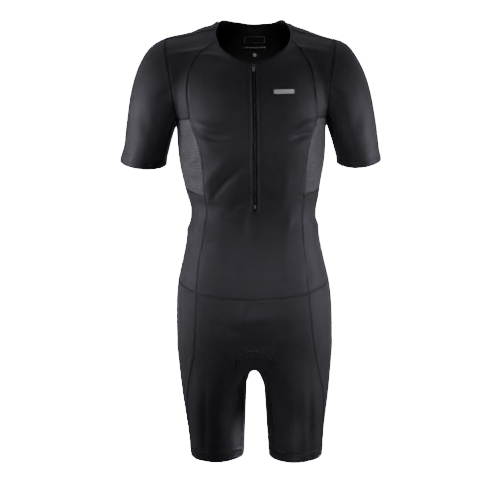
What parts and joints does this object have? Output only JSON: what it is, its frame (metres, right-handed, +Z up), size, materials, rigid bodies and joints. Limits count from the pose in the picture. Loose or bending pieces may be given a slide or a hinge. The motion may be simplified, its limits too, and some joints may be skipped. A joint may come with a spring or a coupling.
{
  "type": "triathlon suit",
  "caption": "One-piece sports garment with short sleeves and short legs, mesh side panels, a front zip and a padded seat, shown worn and filled out with no wearer.",
  "frame": {"origin": "in the neck opening on the centre plane, 10 mm below the two neck points, where the wearer holds the suit up", "axes": "+X towards the wearer's left sleeve, -Y out of the chest, +Z up out of the neck; the centre plane is X = 0"},
  "size_m": [0.567, 0.2359, 0.955],
  "materials": {
    "body_knit": "matt, softly lustrous warp-knitted nylon and elastane",
    "sleeve_knit": "the same knit, fine lengthwise rib",
    "mesh_net": "fine even polyester net, slightly shiny",
    "binding": "folded elastic binding",
    "gripper_band": "matt elastic band",
    "zip_tape": "woven polyester tape with a nylon coil",
    "pad_foam": "brushed microfibre over foam",
    "zip_metal": "satin grey metal"
  },
  "bodies": {
    "suit": {"front_panel": "body_knit", "mesh_left": "mesh_net", "mesh_right": "mesh_net", "back_panel": "body_knit", "side_left": "body_knit", "side_right": "body_knit", "shorts_front": "body_knit", "leg_side_left": "body_knit", "leg_side_right": "body_knit", "shorts_back": "body_knit", "shoulder_left": "body_knit", "shoulder_right": "body_knit", "sleeve_left": "sleeve_knit", "sleeve_right": "sleeve_knit", "hem_band_left": "gripper_band", "hem_band_right": "gripper_band", "neck_binding": "binding", "seat_pad": "pad_foam", "zip_tape_left": "zip_tape", "zip_tape_right": "zip_tape", "zip_slider": "zip_metal", "zip_bottom_stop": "zip_metal"},
    "pull_tab": {"zip_pull_tab": "zip_metal"}
  },
  "joints": [
    {"name": "pull_tab_hinge", "type": "hinge", "parent": "suit", "child": "pull_tab", "pos_m": [0.00663, -0.08538, -0.08586], "axis": [-1, 0, 0], "range_deg": [0, 150]}
  ]
}
